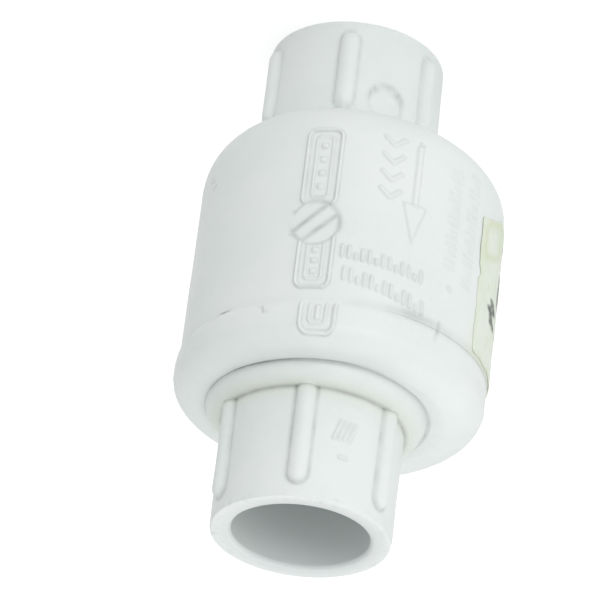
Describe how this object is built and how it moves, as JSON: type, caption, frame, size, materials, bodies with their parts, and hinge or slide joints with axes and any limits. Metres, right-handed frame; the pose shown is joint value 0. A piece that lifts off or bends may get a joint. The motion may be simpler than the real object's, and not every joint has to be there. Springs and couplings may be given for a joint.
{
  "type": "swing check valve",
  "caption": "White plastic inline swing check valve: an offset barrel with a ribbed socket hub at each end and a hinged sealing flap inside.",
  "frame": {"origin": "below the middle of the barrel's box, level with the inlet end face", "axes": "+Z is the flow direction, from the inlet end up to the outlet end; -X is the side the barrel bulges to, where the flap hinges; -Y is the side with the flow arrow"},
  "size_m": [0.0492, 0.0493, 0.0856],
  "materials": {
    "white_pvc": "satin moulded PVC, slightly yellowed and dusty in the corners",
    "inner_pvc": "satin moulded PVC",
    "black_rubber": "matt moulded EPDM",
    "stainless_steel": "turned stainless steel",
    "label_paper": "yellowed paper label with worn edges"
  },
  "bodies": {
    "housing": {"valve_body": "white_pvc", "outlet_cap": "white_pvc", "seat_insert": "inner_pvc", "seat_o_ring": "black_rubber", "hinge_pin": "stainless_steel", "paper_label": "label_paper"},
    "arm": {"hinge_arm": "inner_pvc"},
    "flapper": {"flapper_disc": "inner_pvc", "disc_seal": "black_rubber", "seal_retainer": "stainless_steel", "disc_screw": "stainless_steel", "disc_washer": "stainless_steel", "disc_nut": "stainless_steel"}
  },
  "joints": [
    {"name": "flap_swing", "type": "hinge", "parent": "housing", "child": "arm", "pos_m": [-0.0131, 0, 0.0335], "axis": [0, -1, 0], "range_deg": [0, 80]},
    {"name": "disc_spin", "type": "hinge", "parent": "arm", "child": "flapper", "pos_m": [0.0019, 0, 0.034], "axis": [0, 0, 1], "continuous": true}
  ]
}
